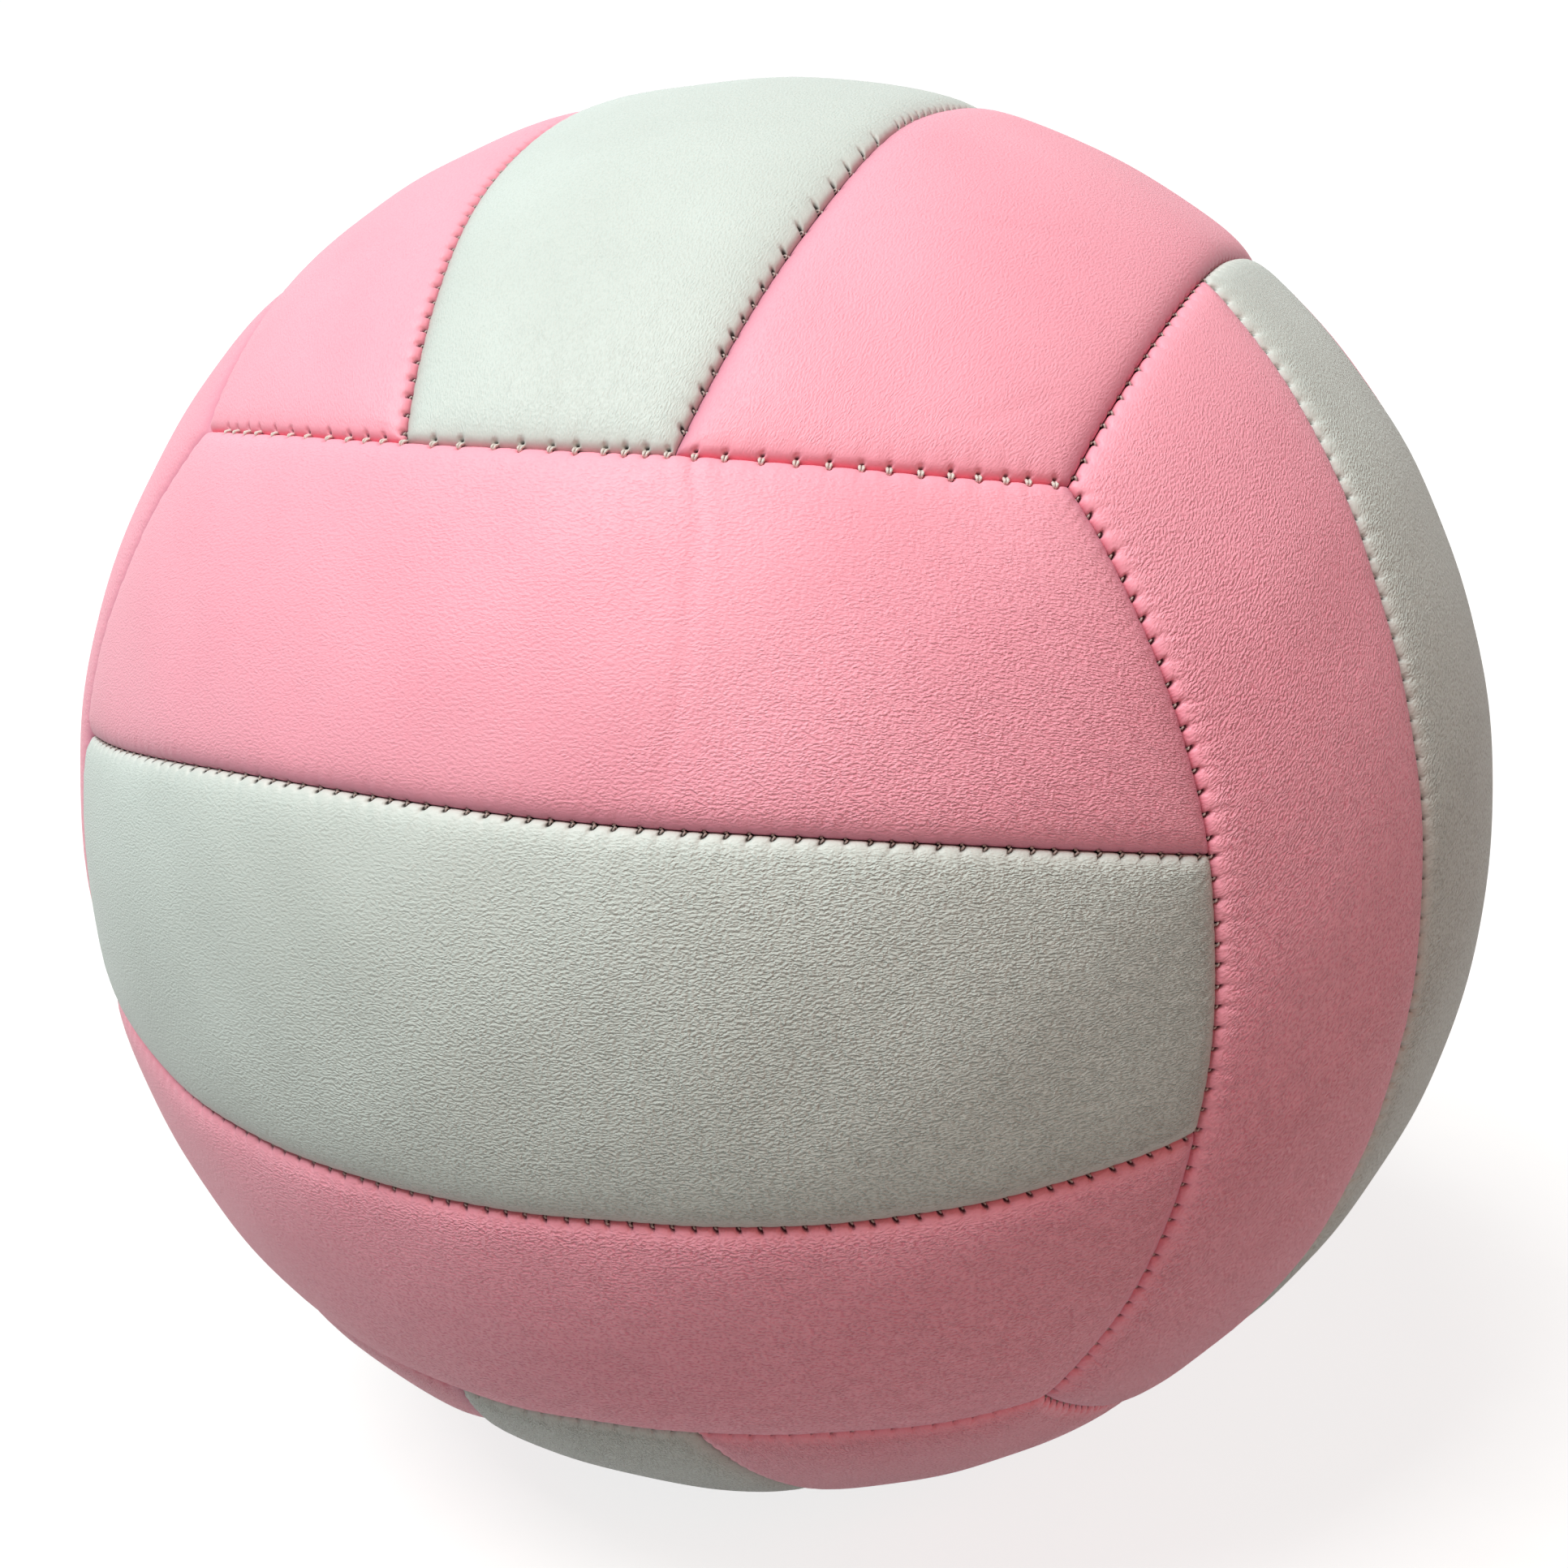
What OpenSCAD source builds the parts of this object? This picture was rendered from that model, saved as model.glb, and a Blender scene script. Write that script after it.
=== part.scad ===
// Machine-stitched volleyball: six groups of three strips over foam, cloth and an air bladder.
// The ball's centre is the origin. The front group faces -Y, +X is right and +Z is up.
// In each group the strips run along u, lie side by side across v, and w points out of the ball.

/* [Ball] */
// Outer diameter of the inflated ball
ball_d = 210; // [200:1:220]
// Angle from the middle of a group to the seam at a strip's end, in degrees
end_seam_angle = 51.5; // [50:0.25:53]
// Angle from the middle of a group to its inner seams, in degrees
inner_seam_angle = 14.3; // [12:0.1:17]
// How far the plane of an inner seam leans, in degrees, which narrows the middle strip at its ends
inner_seam_lean = 12; // [8:0.5:14]

/* [Cover] */
// Thickness of the synthetic leather
skin_t = 1; // [0.8:0.1:1.4]
// Thickness of the foam under the leather
foam_t = 2.6; // [2:0.1:4]
// Thickness of the woven cloth under the foam
lining_t = 0.4; // [0.3:0.1:0.8]
// Thickness of a strip's edge where it turns in at a seam
hem_t = 1.7; // [1.5:0.1:2.4]
// Depth of the groove that the stitches draw along a seam
groove_depth = 1.6; // [1.2:0.1:1.8]
// Gap between two strips' turned-in edges
seam_gap = 0.2; // [0.1:0.05:0.3]
// Film of glue between two bonded layers
glue_t = 0.1; // [0.05:0.05:0.2]

/* [Thread] */
// Diameter of the machine thread
thread_d = 0.6; // [0.4:0.1:0.8]
// Diameter of the thicker thread of the hand-sewn closing seam
closing_thread_d = 0.7; // [0.5:0.1:0.8]
// Distance from stitch to stitch along the closing seam
closing_pitch = 3.6; // [3:0.1:5]
// Depth of the middle of a closing stitch below the ball's surface
closing_depth = 0.4; // [0.35:0.05:0.6]
// Clearance of a thread from the leather beside it
thread_gap = 0.08; // [0.05:0.01:0.12]
// Length that a seam's thread stops short of the seam's end
thread_end_gap = 2.4; // [2:0.1:4]

/* [Bladder] */
// Wall of the air bladder
bladder_t = 0.6; // [0.5:0.1:1.2]
// Layer of talc between the bladder and the lining
talc_gap = 0.1; // [0.05:0.05:0.3]

/* [Valve] */
// Diameter of the needle's guide bore
needle_bore_d = 2.2; // [2:0.1:2.6]
// Length of the needle's guide bore
needle_bore_l = 8; // [6:0.5:10]
// Width of the funnel at the mouth of the guide bore
funnel_d = 4; // [3.4:0.1:4.6]
// Depth of the funnel
funnel_depth = 0.8; // [0.5:0.1:1]
// Diameter of the valve plug's stem
plug_d = 5.4; // [5:0.1:6]
// Length of the valve plug
plug_l = 11.5; // [11:0.5:13]
// Diameter of the valve plug's head
plug_head_d = 7.6; // [7:0.1:8]
// Thickness of the valve plug's head
plug_head_t = 1.2; // [1:0.1:1.5]
// Diameter of the boot that holds the plug, where it shows in the cover
boot_neck_d = 10; // [9.5:0.1:11]
// Diameter of the boot inside the bladder
boot_body_d = 11.6; // [11:0.1:13]
// Rubber under the plug, at the bottom of the boot
boot_floor_t = 1.6; // [1:0.1:3]
// Diameter of the boot's flange, which is bonded inside the bladder
flange_d = 30; // [24:1:36]
// Thickness of the boot's flange
flange_t = 1.2; // [0.8:0.1:2]
// How far the boot's mouth lies below the cover's surface
boot_recess = 0.7; // [0.4:0.1:0.9]
// Clearance of the plug in the boot, and of the boot in the layers' holes
boot_gap = 0.1; // [0.05:0.05:0.2]

/* [Hidden] */
SIDES = ["front", "back", "right", "left", "top", "bottom"];
// The names of each side's three strips, in the order of SIDES, from -v to +v
STRIPS = [
    ["lower", "middle", "upper"],
    ["lower", "middle", "upper"],
    ["front", "middle", "back"],
    ["front", "middle", "back"],
    ["left", "middle", "right"],
    ["left", "middle", "right"]
];
SIDE_COUNT = len(SIDES);
STRIP_COUNT = 3;
MIDDLE = 1;
function side_number(name) = [for (side = [0 : SIDE_COUNT - 1]) if (SIDES[side] == name) side][0];
BACK = side_number("back");
TOP = side_number("top");
function strip_name(side, strip, layer) = str(SIDES[side], "_", STRIPS[side][strip], "_", layer);

PINK = "#f7a0b1";
WHITE = "#e9ece8";
FOAM = "#f2efe6";
CLOTH = "#d9d6cc";
RUBBER = "#2b2b2d";
THREAD = "#e4dfd6";

// Facets of the ball's own surfaces, of the valve's turned surfaces and of a thread's section
ball_fn = 120;
valve_fn = 64;
thread_fn = 36;
// Overrun of every cut
over = 1;

// Radii of the layers, from the outside in. The strips meet at seam_r, at the grooves' bottom.
ball_r = ball_d / 2;
seam_r = ball_r - groove_depth;
foam_r = ball_r - skin_t;
cover_inner_r = foam_r - foam_t;
lining_r = cover_inner_r - glue_t;
bladder_r = lining_r - lining_t - talc_gap;
bladder_inner_r = bladder_r - bladder_t;
flange_r = bladder_inner_r - glue_t;
// Reach of a cut that passes the whole ball
cut_r = ball_d;

// The groups' corners lie on the diagonals of a cube round the ball, at this share of each axis
corner_share = 1 / sqrt(3);
// Lean of the end seams' planes, each through two corners and its own mid point
end_lean = atan2(sin(end_seam_angle) - corner_share, cos(end_seam_angle) - corner_share);
// Each seam is a circle: the angle at the ball's centre between its axis and its points, and how
// far its plane lies from the centre
end_polar = acos(corner_share * (cos(end_lean) - sin(end_lean)));
inner_polar = 90 - inner_seam_angle + inner_seam_lean;
end_distance = seam_r * cos(end_polar);
inner_distance = seam_r * cos(inner_polar);

// Where an inner seam meets an end seam, for a ball of radius 1: u = e w + g and v = a w + b
e_share = tan(end_lean);
g_share = corner_share * (1 - e_share);
a_share = tan(inner_seam_lean);
b_share = sin(inner_seam_angle - inner_seam_lean) / cos(inner_seam_lean);
quad_a = e_share * e_share + a_share * a_share + 1;
quad_b = 2 * (e_share * g_share + a_share * b_share);
quad_c = g_share * g_share + b_share * b_share - 1;
meet_w_share = (-quad_b + sqrt(quad_b * quad_b - 4 * quad_a * quad_c)) / (2 * quad_a);
meet_u_share = e_share * meet_w_share + g_share;
meet_v_share = a_share * meet_w_share + b_share;
// Half the angle that each seam runs through, about its own axis
inner_half_turn = atan2(
    meet_u_share,
    sin(inner_seam_lean) * meet_v_share + cos(inner_seam_lean) * meet_w_share
);
end_half_turn = atan2(1, sin(end_lean) + cos(end_lean));

// Angle at the ball's centre for an arc of this length on its surface
function arc_angle(length) = length / ball_r * 180 / PI;
function polar_point(r, angle) = [r * sin(angle), r * cos(angle)];

// The bores and holes of the valve run along +Y through the middle of the back group
boot_mouth_r = ball_r - boot_recess;
plug_top_r = boot_mouth_r;
plug_bottom_r = plug_top_r - plug_l;
socket_bottom_r = plug_bottom_r - boot_gap;
boot_bottom_r = socket_bottom_r - boot_floor_t;

// Turns a side's u, v, w axes to where the side faces
module on_side(side) {
    // Front: u = X, v = Z, w = -Y
    if (side == 0) rotate([90, 0, 0]) children();
    // Back: u = -X, v = Z, w = Y
    if (side == 1) rotate([90, 0, 180]) children();
    // Right: u = -Z, v = Y, w = X
    if (side == 2) rotate([0, 90, 0]) children();
    // Left: u = Z, v = Y, w = -X
    if (side == 3) rotate([0, -90, 0]) children();
    // Top: u = -Y, v = X, w = Z
    if (side == 4) rotate([0, 0, -90]) children();
    // Bottom: u = Y, v = X, w = -Z
    if (side == 5) rotate(180, [1, 1, 0]) children();
}

// Turns z to the axis of one of a group's seams
module on_inner_seam(sign) {
    rotate([-sign * (90 + inner_seam_lean), 0, 0]) children();
}

module on_end_seam(sign) {
    rotate([0, sign * (90 + end_lean), 0]) children();
}

// Where a seam's mid point lies about the seam's axis
function end_middle(sign) = 90 + 90 * sign;
function inner_middle(sign) = -90 * sign;

// The long side of an outer strip is the end seam of the group next to it
module on_side_seam(sign) {
    rotate([-sign * (180 - end_lean), 0, 0]) children();
}

// All that lies below a seam's plane, less inset
module half_space(distance, inset) {
    translate([-cut_r, -cut_r, distance - inset - 2 * cut_r]) cube(2 * cut_r);
}

// The room for one strip, between its four seams' planes
module strip_room(strip, inset) {
    side = strip - MIDDLE;
    back = inset + seam_gap / 2;
    intersection() {
        on_end_seam(1) half_space(end_distance, back);
        on_end_seam(-1) half_space(end_distance, back);
        if (side == 0) on_inner_seam(1) half_space(inner_distance, back);
        if (side == 0) on_inner_seam(-1) half_space(inner_distance, back);
        if (side != 0) on_inner_seam(side) rotate([180, 0, 0]) half_space(-inner_distance, back);
        if (side != 0) on_side_seam(side) half_space(-end_distance, back);
    }
}

// The groove along a seam. It is centred on the angle middle about the seam's axis, and runs
// well past both ends of the seam.
module groove(polar, middle, half_turn) {
    half = half_turn + arc_angle(4 * groove_depth) / sin(polar);
    lip = arc_angle(2 * groove_depth);
    rotate([0, 0, middle - half])
        rotate_extrude(angle = 2 * half, $fn = ball_fn)
            polygon([
                polar_point(seam_r, polar),
                polar_point(ball_r + groove_depth, polar + lip),
                polar_point(ball_r + groove_depth, polar - lip)
            ]);
}

// The grooves along a strip's four seams
module strip_grooves(strip) {
    side = strip - MIDDLE;
    on_end_seam(1) groove(end_polar, end_middle(1), end_half_turn);
    on_end_seam(-1) groove(end_polar, end_middle(-1), end_half_turn);
    if (side <= 0) on_inner_seam(-1) groove(inner_polar, inner_middle(-1), inner_half_turn);
    if (side >= 0) on_inner_seam(1) groove(inner_polar, inner_middle(1), inner_half_turn);
    if (side != 0) on_side_seam(side) groove(180 - end_polar, inner_middle(side), end_half_turn);
}

// A strip's share of a solid ball, in its group's own axes
module strip_ball(strip, r, inset) {
    intersection() {
        sphere(r = r, $fn = ball_fn);
        strip_room(strip, inset);
    }
}

// A hole along +Y for the valve's neck, through whatever layer it is taken from
module neck_hole() {
    rotate([-90, 0, 0])
        cylinder(h = ball_r + over, d = boot_neck_d + 2 * boot_gap, $fn = valve_fn);
}

// Leaves a layer whole unless it is the strip that the valve sits in
module with_valve_hole(side, strip) {
    if (side == BACK && strip == MIDDLE) {
        difference() {
            children();
            neck_hole();
        }
    } else {
        children();
    }
}

// Synthetic leather: a tray whose edges turn in and cover the foam's edges
module cover_panel(side, strip) {
    color(strip == MIDDLE ? WHITE : PINK)
        with_valve_hole(side, strip)
            on_side(side)
                difference() {
                    strip_ball(strip, ball_r, 0);
                    sphere(r = cover_inner_r, $fn = ball_fn);
                    strip_ball(strip, foam_r, hem_t);
                    strip_grooves(strip);
                }
}

module foam_pad(side, strip) {
    color(FOAM)
        with_valve_hole(side, strip)
            on_side(side)
                difference() {
                    strip_ball(strip, foam_r - glue_t, hem_t + glue_t);
                    sphere(r = cover_inner_r, $fn = ball_fn);
                }
}

// Three pieces of woven cloth, one under each strip
module lining(side) {
    color(CLOTH)
        for (strip = [0 : STRIP_COUNT - 1])
            with_valve_hole(side, strip)
                on_side(side)
                    difference() {
                        strip_ball(strip, lining_r, 0);
                        sphere(r = lining_r - lining_t, $fn = ball_fn);
                    }
}

// Depth at which a machine thread lies against both flanks of a seam's groove
thread_depth = groove_depth - (thread_d / 2 + thread_gap) / sin(45);

// A thread along a seam, centred on the angle middle about the seam's axis
module thread_arc(polar, middle, half_turn) {
    half = half_turn - arc_angle(thread_end_gap) / sin(polar);
    at = polar_point(ball_r - thread_depth, polar);
    rotate([0, 0, middle - half])
        rotate_extrude(angle = 2 * half, $fn = ball_fn)
            translate(at)
                circle(d = thread_d, $fn = thread_fn);
}

// The two inner seams of a group
module side_seam_thread(side) {
    color(THREAD)
        on_side(side)
            for (sign = [-1, 1])
                on_inner_seam(sign) thread_arc(inner_polar, inner_middle(sign), inner_half_turn);
}

// The seams at the groups' ends. The one between the top and the front is closed by hand.
module edge_seam_thread() {
    color(THREAD)
        for (side = [0 : SIDE_COUNT - 1])
            for (sign = [-1, 1])
                if (!(side == TOP && sign == 1))
                    on_side(side)
                        on_end_seam(sign) thread_arc(end_polar, end_middle(sign), end_half_turn);
}

// One stitch across the closing seam's groove, from flank to flank, at the seam's mid point
module closing_stitch() {
    reach = groove_depth - closing_depth - closing_thread_d / 2 - thread_gap;
    rotate([0, end_polar, 0])
        translate([0, 0, ball_r - closing_depth])
            rotate([0, 90, 0])
                cylinder(h = 2 * reach, d = closing_thread_d, center = true, $fn = thread_fn);
}

module closing_seam_thread() {
    half = end_half_turn - arc_angle(thread_end_gap) / sin(end_polar);
    step = arc_angle(closing_pitch) / sin(end_polar);
    count = floor(2 * half / step);
    color(THREAD)
        on_side(TOP)
            on_end_seam(1)
                for (i = [0 : count])
                    rotate([0, 0, end_middle(1) + (i - count / 2) * step]) closing_stitch();
}

// Air-tight rubber sphere, with a hole for the valve's neck
module bladder() {
    color(RUBBER)
        difference() {
            sphere(r = bladder_r, $fn = ball_fn);
            sphere(r = bladder_inner_r, $fn = ball_fn);
            neck_hole();
        }
}

// Rubber boot: its flange is bonded inside the bladder and its mouth shows in the cover
module valve_boot() {
    color(RUBBER)
        difference() {
            union() {
                rotate([-90, 0, 0]) {
                    translate([0, 0, flange_r - flange_t])
                        cylinder(h = boot_mouth_r - flange_r + flange_t, d = boot_neck_d, $fn = valve_fn);
                    translate([0, 0, boot_bottom_r])
                        cylinder(h = flange_r - flange_t / 2 - boot_bottom_r, d = boot_body_d, $fn = valve_fn);
                }
                difference() {
                    intersection() {
                        sphere(r = flange_r, $fn = ball_fn);
                        rotate([-90, 0, 0]) cylinder(h = ball_r, d = flange_d, $fn = valve_fn);
                    }
                    sphere(r = flange_r - flange_t, $fn = ball_fn);
                }
            }
            rotate([-90, 0, 0]) {
                translate([0, 0, socket_bottom_r])
                    cylinder(h = ball_r - socket_bottom_r, d = plug_d + 2 * boot_gap, $fn = valve_fn);
                translate([0, 0, plug_top_r - plug_head_t - boot_gap])
                    cylinder(h = plug_head_t + boot_gap + over, d = plug_head_d + 2 * boot_gap, $fn = valve_fn);
            }
        }
}

// Self-sealing plug: the needle's guide bore is blind, and the lips below it part for the needle
module valve_plug() {
    color(RUBBER)
        rotate([-90, 0, 0])
            difference() {
                union() {
                    translate([0, 0, plug_bottom_r]) cylinder(h = plug_l, d = plug_d, $fn = valve_fn);
                    translate([0, 0, plug_top_r - plug_head_t])
                        cylinder(h = plug_head_t, d = plug_head_d, $fn = valve_fn);
                }
                translate([0, 0, plug_top_r - funnel_depth - needle_bore_l])
                    cylinder(h = needle_bore_l + over, d = needle_bore_d, $fn = valve_fn);
                translate([0, 0, plug_top_r - funnel_depth])
                    cylinder(h = funnel_depth, d1 = needle_bore_d, d2 = funnel_d, $fn = valve_fn);
            }
}

for (side = [0 : SIDE_COUNT - 1])
    for (strip = [0 : STRIP_COUNT - 1]) {
        cover_panel(side, strip);
        foam_pad(side, strip);
    }
for (side = [0 : SIDE_COUNT - 1]) {
    lining(side);
    side_seam_thread(side);
}
edge_seam_thread();
closing_seam_thread();
bladder();
valve_boot();
valve_plug();
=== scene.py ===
"""A machine-stitched volleyball: six groups of three leather strips over foam, cloth and an air bladder.

All making is done in millimetres and turned to metres when a mesh is finished.
"""

import math

import bpy
import numpy as np
from mathutils import Matrix, Vector

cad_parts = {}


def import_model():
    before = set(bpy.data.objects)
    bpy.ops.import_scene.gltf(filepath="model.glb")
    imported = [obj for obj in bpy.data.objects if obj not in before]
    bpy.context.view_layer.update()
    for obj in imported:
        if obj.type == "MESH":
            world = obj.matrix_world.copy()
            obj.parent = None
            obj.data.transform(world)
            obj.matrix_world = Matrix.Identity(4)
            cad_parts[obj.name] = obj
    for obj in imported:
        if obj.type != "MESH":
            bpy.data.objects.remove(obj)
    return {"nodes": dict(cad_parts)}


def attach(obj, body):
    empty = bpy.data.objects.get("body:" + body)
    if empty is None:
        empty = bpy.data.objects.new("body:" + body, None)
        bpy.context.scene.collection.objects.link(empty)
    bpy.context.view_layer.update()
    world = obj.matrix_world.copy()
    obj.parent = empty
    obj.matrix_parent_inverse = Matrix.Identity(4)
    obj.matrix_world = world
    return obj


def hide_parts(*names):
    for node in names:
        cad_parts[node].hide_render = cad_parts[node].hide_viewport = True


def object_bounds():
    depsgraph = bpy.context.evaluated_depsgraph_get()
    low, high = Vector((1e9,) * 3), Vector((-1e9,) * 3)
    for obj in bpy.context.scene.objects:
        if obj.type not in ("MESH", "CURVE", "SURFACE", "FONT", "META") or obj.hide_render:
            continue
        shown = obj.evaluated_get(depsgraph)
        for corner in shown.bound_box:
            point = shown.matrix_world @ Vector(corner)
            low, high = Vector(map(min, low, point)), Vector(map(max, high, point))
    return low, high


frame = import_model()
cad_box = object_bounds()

MM = 0.001
BALL_R = (cad_box[1].z - cad_box[0].z) / 2 / MM

# How the cover is cut

# Angles from the middle of a group to the seams at its strips' ends and to its inner seams, and
# how far the planes of the inner seams lean
END_SEAM = math.radians(51.5)
INNER_SEAM = math.radians(14.3)
INNER_LEAN = math.radians(12)
# The groups' corners lie on the diagonals of a cube, at this share of each axis
CORNER = 1 / math.sqrt(3)

# An end seam lies where u = END_SLOPE w + END_OFFSET, on a ball of radius 1, and an inner seam
# where v = INNER_SLOPE w + INNER_OFFSET. The long side of an outer strip is the end seam of the
# group beside it, where w = END_SLOPE v + END_OFFSET.
END_SLOPE = (math.sin(END_SEAM) - CORNER) / (math.cos(END_SEAM) - CORNER)
END_OFFSET = CORNER * (1 - END_SLOPE)
INNER_SLOPE = math.tan(INNER_LEAN)
INNER_OFFSET = math.sin(INNER_SEAM - INNER_LEAN) / math.cos(INNER_LEAN)
SIDE_SLOPE = 1 / END_SLOPE
SIDE_OFFSET = -END_OFFSET / END_SLOPE

# Each group's axes: along its strips, across them, and out of the ball
GROUPS = {
    "front": ((1, 0, 0), (0, 0, 1), (0, -1, 0)),
    "back": ((-1, 0, 0), (0, 0, 1), (0, 1, 0)),
    "right": ((0, 0, -1), (0, 1, 0), (1, 0, 0)),
    "left": ((0, 0, 1), (0, 1, 0), (-1, 0, 0)),
    "top": ((0, -1, 0), (1, 0, 0), (0, 0, 1)),
    "bottom": ((0, 1, 0), (1, 0, 0), (0, 0, -1)),
}
STRIP_NAMES = {
    "front": ("lower", "middle", "upper"),
    "back": ("lower", "middle", "upper"),
    "right": ("front", "middle", "back"),
    "left": ("front", "middle", "back"),
    "top": ("left", "middle", "right"),
    "bottom": ("left", "middle", "right"),
}

# Layers, in millimetres below the ball's surface
SKIN = 1.0
DEEPEST_FACE = 2.95
HEM_DEPTH = 3.5
COVER_DEPTH = 3.6
LINING_TOP = 3.7
LINING_BOTTOM = 4.1
HEM = 1.7
VALVE_HOLE_R = 5.1
# Each net has a square gap round the valve's round hole, at least this much wider on each side.
# The rows of vertices between the two lie at these shares of the way.
VALVE_GAP_MARGIN = 2.4
VALVE_HOLE_ROWS = (0.35, 0.62, 0.8, 0.91, 0.97, 1.0)

# Stitches: the machine's even pitch, and how far the sewing stops from a corner
MACHINE_PITCH = 2.75
CORNER_GAP = 1.6
# One machine seam of the top group is looser along a part of its length: runs of start, end,
# pitch and pull
LOOSE_SEWING = ((-88.0, 24.0, 2.8, 1.0), (29.0, 60.0, 5.1, 3.2), (63.0, 89.0, 2.8, 1.1))
# The needle thread hooks over one side of a seam, 1 for the side away from the seam's axis. These
# hook over the other side:
HOOKED_INSIDE = (("front", -1), ("top", -1), ("right", 1), ("left", 1), ("bottom", 1), ("back", 1))
# How far a stitch lies off its place, in millimetres, and how its pull varies round 1
STITCH_WANDER = 0.11
PULL_SPREAD = 0.16
# Small puckers run away from a seam: their number, and the limits of the wavelength, slant, phase
# and height of each
PUCKER_COUNT = 7
PUCKER_LIMITS = ((1.3, 5.0), (-0.8, 0.8), (0, 6.3), (0.4, 1))
# The closing seam is sewn by hand, so the steps between its stitches wander
HAND_START = -63.8
HAND_STEPS = (
    *(3.0, 2.8, 3.4, 3.4, 3.6, 3.6, 3.6, 3.7, 3.8, 4.1, 4.2, 3.8, 3.2, 2.7, 2.6, 2.6, 3.4),
    *(3.3, 3.8, 3.9, 4.7, 4.1, 4.7, 3.3, 2.9, 3.3, 3.8, 4.2, 4.0, 4.0, 4.3, 3.6, 3.4, 3.0),
)

# Form of the sewn leather, in millimetres. A stitch hole by the kind of its side: how far in from
# the edge its middle lies, its half widths across and along the seam, and its slant
HOLES = {
    "hooked": (0.34, 0.32, 0.27, 0.6),
    "plain": (0.05, 0.2, 0.2, 0.6),
    "hand outer": (0.66, 0.22, 0.3, 0.0),
    "hand inner": (0.5, 0.22, 0.3, 0.0),
}
# The rolled edge by the kind of its side: the radius of its roll, and how far it dips to the seam
EDGES = {
    "hooked": (0.7, 1.0),
    "plain": (0.6, 1.35),
    "hand outer": (1.1, 0.9),
    "hand inner": (0.7, 0.9),
}
# The cover slopes to a seam from far off, and dips close to it: how deep and how far out
SLOPE_DEPTH, SLOPE_REACH = 0.4, 7.5
DIP_REACH = 1.7
HOLE_DEPTH = 1.1
# At a stitch the leather has a dimple close to the thread, and a wider hollow that leaves a bulge
# between two stitches: how deep each is, how long the dimple is, and how far out each reaches
DIMPLE_DEPTH, DIMPLE_LENGTH, DIMPLE_REACH = 0.13, 0.6, 1.1
HOLLOW_DEPTH, HOLLOW_REACH = 0.1, 2.2
# The thread draws the edge in, most in a notch at each stitch, and the fold tucks in all along
NOTCH_DEPTH, NOTCH_LENGTH, NOTCH_REACH = 0.14, 0.36, 0.5
DRAW_DEPTH, DRAW_REACH = 0.04, 1.0
TUCK_DEPTH, TUCK_REACH = 0.03, 0.3
# Puckers start this far from the seam and have died away at several times their reach. They and
# the drawn edge fade over the last stretch to a corner.
PUCKER_HEIGHT, PUCKER_START, PUCKER_REACH = 0.018, 0.8, 4.5
CORNER_FADE = 2
SWELL_HEIGHT = 0.11
# A side that the thread doesn't hook over is drawn in this much as strongly as the other
PLAIN_HOLD = 0.25

# Sewing pulls the cut pieces a little out of true: the places where it does, as directions from
# the ball's middle, and how far it pulls there, in millimetres
PULLS = (
    ((0.65, -0.18, 0.74), (0.7, 6.0, 0.8)),
    ((0.86, -0.22, 0.46), (0.3, -0.1, -0.6)),
    ((0.76, -0.62, 0.19), (0.9, 1.0, -0.3)),
    ((0.95, -0.24, -0.19), (-0.2, -0.8, 0.0)),
    ((0.74, -0.61, -0.28), (0.5, 0.8, -0.4)),
    ((0.53, -0.61, -0.58), (-0.4, 2.5, -3.0)),
    ((0.46, -0.86, 0.22), (-0.8, -0.3, 0.6)),
    ((0.46, -0.86, -0.22), (-0.1, 0.2, -0.9)),
    ((0.14, -0.96, 0.24), (0.0, -0.2, -0.7)),
    ((-0.28, -0.93, 0.24), (-0.2, 0.1, 0.2)),
    ((-0.28, -0.93, -0.24), (-0.1, 0.1, -0.4)),
    ((-0.19, -0.76, -0.62), (0.4, 1.3, -1.8)),
    ((-0.59, -0.78, -0.21), (0.0, 0.5, -1.8)),
    ((-0.72, -0.67, 0.18), (-0.3, 0.1, -1.0)),
    ((-0.53, -0.61, 0.58), (-0.1, 0.7, 0.7)),
    ((0.19, -0.76, 0.62), (-0.2, 0.3, 0.4)),
    ((-0.20, -0.62, 0.76), (-0.8, 0.0, -0.3)),
    ((0.22, -0.46, 0.86), (0.4, 1.8, 0.9)),
    ((0.25, -0.10, 0.96), (-1.3, 2.0, 0.5)),
    ((-0.24, -0.28, 0.93), (-3.0, 0.0, -0.8)),
)
PULL_REACH = 34.0

# Threads, in millimetres: their radii, and how far the closing seam's two strands lie to each side
MACHINE_THREAD_R, HAND_THREAD_R = 0.13, 0.18
STRAND_OFFSET = 0.17

# Marks that a ball keeps from being packed flat: the group, its run as angles along and across
# the group in degrees, width and depth in millimetres. The leather stands up beside each, at this
# many widths from it, by this share of its depth.
RIDGE_PLACE, RIDGE_SHARE = 2.2, 0.45
FOLDS = (
    ("front", ((11.0, 39.5), (12.8, 34.7), (13.5, 29.0), (13.9, 24.0), (13.5, 17.0)), 0.8, 0.12),
    ("front", ((11.4, 12.0), (11.5, 5.0), (11.1, -2.0), (10.2, -10.0)), 0.8, 0.09),
    ("front", ((-21.0, 35.0), (-19.0, 30.0), (-20.5, 24.0)), 1.0, 0.05),
    ("top", ((30.5, 16.0), (26.0, 20.5), (23.0, 25.8), (19.0, 31.0)), 0.9, 0.07),
    ("top", ((39.5, 33.0), (37.3, 36.6), (32.0, 39.0)), 0.9, 0.07),
)

# The leather's wrinkles run along a strip, or at this angle to it in degrees, as it was cut
GRAIN_TURN = {"front": 4, "top": 7, "right": -49, "left": 75, "back": 8}
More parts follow.
